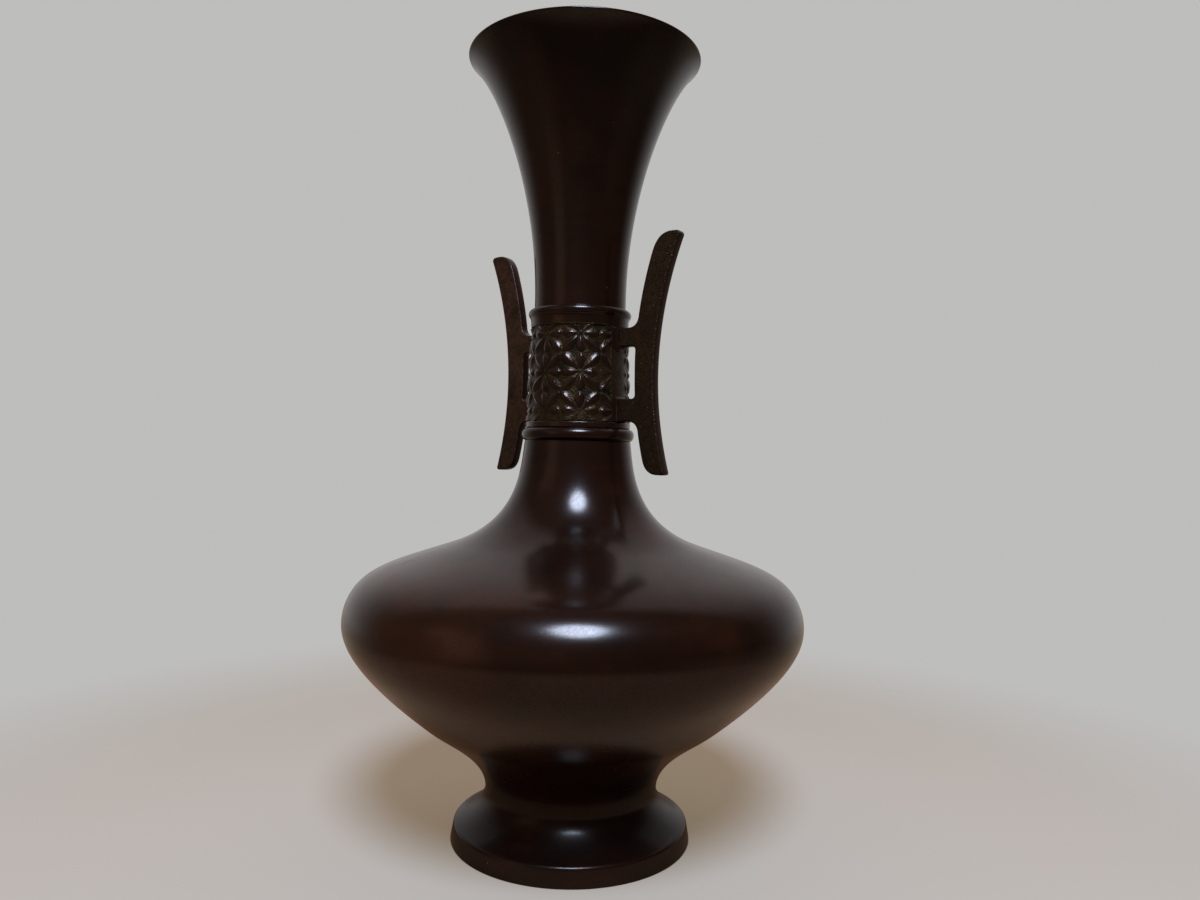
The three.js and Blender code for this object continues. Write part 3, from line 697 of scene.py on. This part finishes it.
# The whole sleeve: under rim, field, upper rim, spigots and bore, as rings of one grid.
def bandMesh(size, net):
    angle, height, radius, relief, cornerShade = bandField(size, net)
    low, high, bottom, top = size["lowRadius"], size["highRadius"], size["bottom"], size["top"]
    lowRim, highRim = low + size["rimProud"], high + size["rimProud"] - size["upperRimStep"]
    (lowerSpigot, lowerDepth), (upperSpigot, upperHeight) = size["lowerSpigot"], size["upperSpigot"]
    step, roundHeight = size["fieldStep"], size["rimRoundHeight"]
    fieldBottom, fieldTop = size["fieldBottom"], size["fieldTop"]
    lowRound, highRound = size["rimRounds"]
    below = chain(
        (lowerSpigot, bottom),
        softCorner((size["rimInside"], bottom), (lowRim, bottom), (lowRim, roundHeight), lowRound),
        softCorner((lowRim, roundHeight), (lowRim, fieldBottom - step), (low, fieldBottom), highRound),
        (low + step, fieldBottom))
    above = chain(
        (high + step, fieldTop), (highRim, fieldTop), (highRim, top), (upperSpigot, top),
        (upperSpigot, top + upperHeight), (size["bore"], top + upperHeight),
        (size["bore"], bottom - lowerDepth), (lowerSpigot, bottom - lowerDepth))
    flatRings = [np.repeat(part[:, :, None], len(angle), axis=2) for part in (below, above)]
    rings = np.concatenate([flatRings[0], np.stack([radius, height], axis=1)[1:-1], flatRings[1]])
    points = np.stack([rings[:, 0] * np.cos(angle), rings[:, 0] * np.sin(angle), rings[:, 1]], axis=-1)
    innerRows = np.arange(len(rings)) >= len(rings) - 4
    mesh = gridMesh("band_carved", points, True, innerRows)
    # The relief, and the painted shade of the relief's corners, go with the mesh as point attributes.
    for name, field, rim in (("relief", relief, 0.5), ("cornerShade", cornerShade, 0)):
        values = np.zeros((len(rings), len(angle)), np.float32)
        values[len(below):len(below) + len(field) - 2] = field[1:-1]
        values[:len(below)] = rim
        mesh.attributes.new(name, "FLOAT", "POINT").data.foreach_set("value", values.ravel())
    return mesh


addPiece("band_carved", bandMesh(band, net), "ornament_band", [bandMetal, innerMetal],
         band["crease"])
print("band made")


# Neck and mouth

mouth = {
    "neckRadius": 14.75, "bore": 12.4, "bottom": 163.4, "socketRadius": 13.575, "socketTop": 169.05,
    "straightTop": 172.5, "flareAngle": 41.5, "flarePulls": (36, 12.0), "radius": 37.4,
    "height": 250.0, "lip": 1.3, "lipRound": 0.4, "lipStep": 0.15, "lipInnerRound": 0.5,
}


# Straight up out of the band, then flaring like a trumpet. The lip's outer edge is an arc, which
# leaves the flare square to its end direction and turns up to the top.
def trumpetOutline(size):
    radius, height, bore = size["radius"], size["height"], size["bore"]
    edge = np.radians(np.linspace(size["flareAngle"] - 90, 90, 12))
    lip = (radius - size["lipRound"], height - size["lipRound"])
    lipOuter = arc(lip, size["lipRound"], edge)
    neck = (size["neckRadius"], size["straightTop"])
    startPull, endPull = size["flarePulls"]
    outer = sweep(neck, 90, startPull, lipOuter[0], size["flareAngle"], endPull, 96)
    wall = np.interp(outer[:, 1], (size["straightTop"], height), (size["neckRadius"] - bore, size["lip"]))
    inner = innerSide(outer, wall)
    inner = inner[inner[:, 1] < height - size["lip"]]
    lipTop = (radius - size["lip"] - size["lipStep"], height)
    lipInner = softCorner(lip, lipTop, inner[-1], size["lipInnerRound"])
    bottom, socket, socketTop = size["bottom"], size["socketRadius"], size["socketTop"]
    outside = chain((size["neckRadius"], bottom), outer, lipOuter[1:])
    inside = chain(lipInner, inner[::-2], (bore, socketTop), (socket, socketTop), (socket, bottom))
    return chain(outside, inside), len(outside) + len(lipInner) - 2


addShell("trumpet_turned", "neck_and_mouth", trumpetOutline(mouth), patina)
print("neck made")


# Ears

# Rises are counted from the middle of the strap. A stub is its rise and its height.
ears = {
    "thickness": 3.3, "edgeRound": 0.6, "middle": 147.4, "waistReach": 29.8, "topReach": 38.7,
    "topRise": 43.3, "bottomReach": 34.4, "bottomDrop": 30.6, "depth": 7.1, "topDepth": 8.3,
    "stubEnd": 16.0, "upperStub": (11.95, 5.9), "lowerStub": (-10.75, 7.1), "fillets": (3.4, 1.5),
    "filletAims": (5, 3), "filletRuns": (3.8, 1.9), "tipRound": 1.2, "tipDrop": 0.3, "tipArch": 0.2,
    "tipInnerRounds": (5.0, 6.0), "tipAims": (2.5, 6), "tipRuns": (2.3, 6.6), "toeRound": 0.75,
    "toeInnerRounds": (4.4, 4.2), "toeAims": (2, 5), "toeRuns": (1.6, 5.2), "crease": 60,
}


# The strap's outer edge: a parabola through its waist, steeper or flatter above and below.
def strapReach(rise, size):
    waist = size["waistReach"]
    up = waist + (size["topReach"] - waist) * (rise / size["topRise"]) ** 2
    down = waist + (size["bottomReach"] - waist) * (rise / size["bottomDrop"]) ** 2
    return np.where(rise > 0, up, down)


def strapInner(rise, size):
    extra = (size["topDepth"] - size["depth"]) * np.maximum(rise / size["topRise"], 0)
    return strapReach(rise, size) - size["depth"] - extra


# The ear's outline in its own plane, anticlockwise: distance from the axis, and height. An edge
# runs up to a rounded corner, whose side aims at a point of it. The first of two runs, aims or
# fillets is for the outer side, and inner rounds reach along both sides of a corner.
def earOutline(size):
    middle, seat = size["middle"], size["stubEnd"]
    top, bottom = size["topRise"], -size["bottomDrop"]

    def at(reach, rise):
        return (float(reach), middle + rise)

    def outerAt(rise):
        return at(strapReach(rise, size), rise)

    def innerAt(rise):
        return at(strapInner(rise, size), rise)

    def edge(start, end, reach, steps=24):
        rise = np.linspace(start, end, steps)
        return np.stack([reach(rise, size), middle + rise], axis=1)

    # Round into the stub from above, along its seat, and round out of it again.
    def stub(high, low, above, below):
        fillet, aim = size["fillets"], size["filletAims"]
        return chain(
            softCorner(innerAt(high + aim[above]), innerAt(high), at(seat, high), fillet[above], steps=10),
            at(seat, high), at(seat, low),
            softCorner(at(seat, low), innerAt(low), innerAt(low - aim[below]), fillet[below], steps=10))

    (upperRise, upperTall), (lowerRise, lowerTall) = size["upperStub"], size["lowerStub"]
    upperTop, upperBottom = upperRise + upperTall / 2, upperRise - upperTall / 2
    lowerTop, lowerBottom = lowerRise + lowerTall / 2, lowerRise - lowerTall / 2
    outerRun, innerRun = size["filletRuns"]
    tipAims, tipRuns, toeAims, toeRuns = (size[key] for key in ("tipAims", "tipRuns", "toeAims", "toeRuns"))
    topOuter = at(size["topReach"], top - size["tipDrop"])
    topInner = (innerAt(top)[0], middle + top + size["tipArch"])
    toeOuter = at(size["bottomReach"], bottom)
    return chain(
        roundCorner(innerAt(bottom), toeOuter, outerAt(bottom + toeAims[0]), size["toeRound"]),
        edge(bottom + toeRuns[0], top - tipRuns[0], strapReach, 60),
        roundCorner(outerAt(top - tipAims[0]), topOuter, topInner, size["tipRound"]),
        softCorner(topOuter, topInner, innerAt(top - tipAims[1]), *size["tipInnerRounds"], 10),
        edge(top - tipRuns[1], upperTop + outerRun, strapInner),
        stub(upperTop, upperBottom, 0, 1),
        edge(upperBottom - innerRun, lowerTop + innerRun, strapInner, 12),
        stub(lowerTop, lowerBottom, 1, 0),
        edge(lowerBottom - outerRun, bottom + toeRuns[1], strapInner),
        softCorner(innerAt(bottom + toeAims[1]), innerAt(bottom), toeOuter, *size["toeInnerRounds"], 10))


# A flat bar cut to an outline: the outline drawn in by 1 - cos and moved out by sin of a quarter
# turn at each face makes the rounded edge, and one face closes each side.
def earMesh(name, size, side):
    outline = earOutline(size)
    before, after = np.roll(outline, 1, axis=0), np.roll(outline, -1, axis=0)
    along = (after - before) / np.linalg.norm(after - before, axis=1)[:, None]
    inwards = np.stack([-along[:, 1], along[:, 0]], axis=1)
    turn = np.linspace(0, math.pi / 2, 7)
    drawn = size["edgeRound"] * (1 - np.sin(turn))
    depth = size["thickness"] / 2 - size["edgeRound"] * (1 - np.cos(turn))
    drawn, depth = np.append(drawn, drawn[::-1]), np.append(depth, -depth[::-1])
    flat = outline[None] + inwards[None] * drawn[:, None, None]
    reach, height = flat[..., 0], flat[..., 1]
    points = np.stack([side * reach, side * (depth[:, None] + 0 * reach), height], axis=-1)
    rows, columns = points.shape[:2]
    index = np.arange(rows * columns).reshape(rows, columns)
    wrapped = np.hstack([index, index[:, :1]])
    quads = np.stack([wrapped[:-1, :-1], wrapped[1:, :-1], wrapped[1:, 1:], wrapped[:-1, 1:]], axis=-1)
    faces = [*quads.reshape(-1, 4).tolist(), index[0].tolist(), index[-1][::-1].tolist()]
    mesh = bpy.data.meshes.new(name)
    mesh.from_pydata(points.reshape(-1, 3) * metre, [], faces)
    work = bmesh.new()
    work.from_mesh(mesh)
    bmesh.ops.recalc_face_normals(work, faces=work.faces)
    work.to_mesh(mesh)
    work.free()
    return mesh


# The flat faces, which come last, stay flat.
for sideName, side in (("right", 1), ("left", -1)):
    name = sideName + "_ear"
    mesh = earMesh(name + "_cut", ears, side)
    ear = addPiece(name + "_cut", mesh, name, [earMetal], ears["crease"])
    for face in ear.data.polygons[-2:]:
        face.use_smooth = False
    ear.data.update()


# Rivets

rivets = {
    "shank": 0.8, "head": 1.5, "headHeight": 0.8, "start": 12.12, "end": 20.4, "chamfer": 0.3,
    "heights": (159.35, 136.65),
}


# A domed head with a straight shank, turned round its own axis and laid along X.
def rivetMesh(name, size, side, height):
    angle = np.linspace(math.pi / 2, 0, 9)
    dome = np.stack([size["head"] * np.cos(angle), -size["headHeight"] * np.sin(angle)], axis=1)
    dome[0, 0] = 0
    length, shank, chamfer = size["end"] - size["start"], size["shank"], size["chamfer"]
    outline = chain(
        dome, (shank, 0), (shank, length - chamfer), (shank - chamfer, length), (0, length))
    turn = np.linspace(0, 2 * math.pi, 32, endpoint=False)
    radius, along = outline[:, :1], outline[:, 1:]
    points = np.stack([
        side * (size["start"] + along + 0 * turn), side * radius * np.cos(turn),
        height + radius * np.sin(turn)], axis=-1)
    return gridMesh(name, points, closedRows=False)


for sideName, side in (("right", 1), ("left", -1)):
    for level, height in zip(("upper", "lower"), rivets["heights"]):
        name = f"{sideName}_{level}_rivet_turned"
        addPiece(name, rivetMesh(name, rivets, side, height), f"{sideName}_ear_{level}_rivet",
                 [innerMetal])
print("ears and rivets made")


# Floor, background and lights

# Directions are parts of one: up, towards the camera, and sideways to its right.
studio = {
    "floor": (0.392, 0.358, 0.32, 1), "floorLift": (0.178, 0.136, 0.089, 1),
    "floorMirrored": (0.4, 0.243, 0.143, 1), "floorMirroredLift": (0.04, 0.025, 0.014, 1),
    "floorRadius": 0.34, "fadeSeen": (0.15, 0.33), "fadeMirrored": (0.15, 0.3),
    "background": (0.515, 0.513, 0.505, 1), "roomLeft": (0.168, 0.098, 0.066, 1),
    "roomRight": (0.082, 0.043, 0.026, 1), "leftToRight": (-0.35, 0.35),
    "roomLow": (0.066, 0.045, 0.032, 1), "lowHeights": (-0.35, 0.05),
    "roomLowSides": (0.17, 0.115, 0.08, 1), "lowSideHeights": (-0.22, -0.03),
    "middleToSides": (0.55, 0.95), "roomStreak": (0.47, 0.285, 0.19, 1), "streakLeft": (-0.93, -0.84),
    "streakRight": (-0.74, -0.56), "streakTowards": (0.05, 0.25), "streakFoot": (-0.3, 0.05),
    "streakHead": (0.4, 0.7), "roomBack": (0.565, 0.54, 0.535, 1),
    "roomBackLow": (0.41, 0.325, 0.245, 1), "backToFront": (-0.8, -0.15),
    "roomTop": (0.6, 0.52, 0.52, 1), "topHeights": (0.35, 0.85), "topTowards": (-0.38, -0.04),
    "keyPower": 10.6, "keyColour": (0.66, 0.82, 1.06), "keyWidth": 0.325, "keyLength": 0.36,
    "keyDistance": 0.9, "keyElevation": 51.0, "keyTurn": 3.0, "keyAim": 0.09,
}


# A round floor. The camera sees it fade into the background, so that no horizon shows. The vase
# mirrors a warmer and dimmer floor, which fades into the room, so that its edge doesn't show.
def floorFinish(sheet, look):
    def glow(colour):
        return sheet.node("Emission", {"Color": colour})

    def lifted(colour, lift):
        matt = sheet.node("BsdfDiffuse", {"Color": colour})
        return sheet.node("AddShader", {0: matt, 1: glow(lift)})

    x, y, z = sheet.parts(sheet.place())
    away = (x * x + y * y) ** 0.5
    shown = lifted(look["floor"], look["floorLift"])
    shown = sheet.mixShader(sheet.ease(away, *look["fadeSeen"]), shown, glow(look["background"]))
    mirrored = lifted(look["floorMirrored"], look["floorMirroredLift"])
    clear = sheet.node("BsdfTransparent")
    mirrored = sheet.mixShader(sheet.ease(away, *look["fadeMirrored"]), mirrored, clear)
    seen = sheet.node("LightPath", output="Is Camera Ray")
    sheet.node("OutputMaterial", {"Surface": sheet.mixShader(seen, mirrored, shown)})


def makeFloor(look):
    bpy.ops.mesh.primitive_circle_add(vertices=96, radius=look["floorRadius"], fill_type="NGON")
    floor = bpy.context.object
    floor.name = "floor"
    floor.data.materials.append(newFinish("paleFloor", floorFinish, look))


# The room: dark on the camera's side with a soft upright streak to the left, darkest below in the
# middle, and pale behind the vase and overhead from there to the back.
def makeRoom(look):
    world = bpy.data.worlds.new("room")
    bpy.context.scene.world = world
    world.use_nodes = True
    sheet = Sheet(world.node_tree)
    direction = sheet.node("TexCoord", output="Generated")
    x, y, z = sheet.parts(direction)
    towards = x * math.cos(frontAngle) + y * math.sin(frontAngle)
    sideways = y * math.cos(frontAngle) - x * math.sin(frontAngle)
    front = sheet.blend(sheet.ease(sideways, *look["leftToRight"]), look["roomLeft"], look["roomRight"])
    low = 1 - sheet.ease(z, *look["lowHeights"])
    lowSides = 1 - sheet.ease(z, *look["lowSideHeights"])
    sides = sheet.ease(sheet.maths("ABSOLUTE", sideways), *look["middleToSides"])
    front = sheet.blend(low * (1 - sides), front, look["roomLow"])
    front = sheet.blend(lowSides * sides, front, look["roomLowSides"])
    streak = sheet.ease(sideways, *look["streakLeft"]) * (1 - sheet.ease(sideways, *look["streakRight"]))
    streak = streak * sheet.ease(towards, *look["streakTowards"]) * sheet.ease(z, *look["streakFoot"])
    streak = streak * (1 - sheet.ease(z, *look["streakHead"]))
    front = sheet.blend(streak, front, look["roomStreak"])
    back = sheet.blend(lowSides, look["roomBack"], look["roomBackLow"])
    behind = 1 - sheet.ease(towards, *look["backToFront"])
    room = sheet.blend(behind, front, back)
    top = sheet.ease(z, *look["topHeights"]) * (1 - sheet.ease(towards, *look["topTowards"]))
    room = sheet.blend(top, room, look["roomTop"])
    seen = sheet.node("LightPath", output="Is Camera Ray")
    colour = sheet.blend(seen, room, look["background"])
    light = sheet.node("Background", {"Color": colour})
    sheet.node("OutputWorld", {"Surface": light})


# A lamp in front of the vase and above it, a little taller than wide, facing the shoulder.
def makeKey(look):
    lamp = bpy.data.lights.new("key", "AREA")
    lamp.shape = "ELLIPSE"
    lamp.size = look["keyWidth"]
    lamp.size_y = look["keyLength"]
    lamp.energy = look["keyPower"]
    lamp.color = look["keyColour"]
    key = addObject("key", lamp)
    turn, rise = frontAngle + math.radians(look["keyTurn"]), math.radians(look["keyElevation"])
    away = Vector((math.cos(turn) * math.cos(rise), math.sin(turn) * math.cos(rise), math.sin(rise)))
    key.location = Vector((0, 0, look["keyAim"])) + away * look["keyDistance"]
    key.rotation_mode = "QUATERNION"
    key.rotation_quaternion = away.to_track_quat("Z", "Y")


for make in (makeFloor, makeRoom, makeKey):
    make(studio)


# Camera, as fitted to the rims of the mouth and the foot: distances in vase heights

view = {
    "lens": 26.982, "clipStart": 0.01, "distance": 1.1678, "height": 0.4925, "yaw": 1.432,
    "pitch": 0.211, "roll": 1.142,
}


def makeCamera(view):
    yaw, pitch, roll = (math.radians(view[key]) for key in ("yaw", "pitch", "roll"))
    forward = Vector((math.sin(yaw) * math.cos(pitch), math.cos(yaw) * math.cos(pitch), math.sin(pitch)))
    level = Vector((math.cos(yaw), -math.sin(yaw), 0))
    up = level.cross(forward)
    right = level * math.cos(roll) + up * math.sin(roll)
    upright = up * math.cos(roll) - level * math.sin(roll)
    tall = mouth["height"] * metre
    camera = bpy.data.cameras.new("camera")
    camera.lens = view["lens"]
    camera.clip_start = view["clipStart"]
    holder = addObject("camera", camera)
    axes = Matrix((right, upright, -forward)).transposed().to_4x4()
    spot = Matrix.Translation((0, -view["distance"] * tall, view["height"] * tall))
    holder.matrix_world = Matrix.Rotation(frontAngle + math.pi / 2, 4, "Z") @ spot @ axes
    bpy.context.scene.camera = holder


makeCamera(view)
bpy.context.scene.view_settings.view_transform = "Standard"
print("stage made")
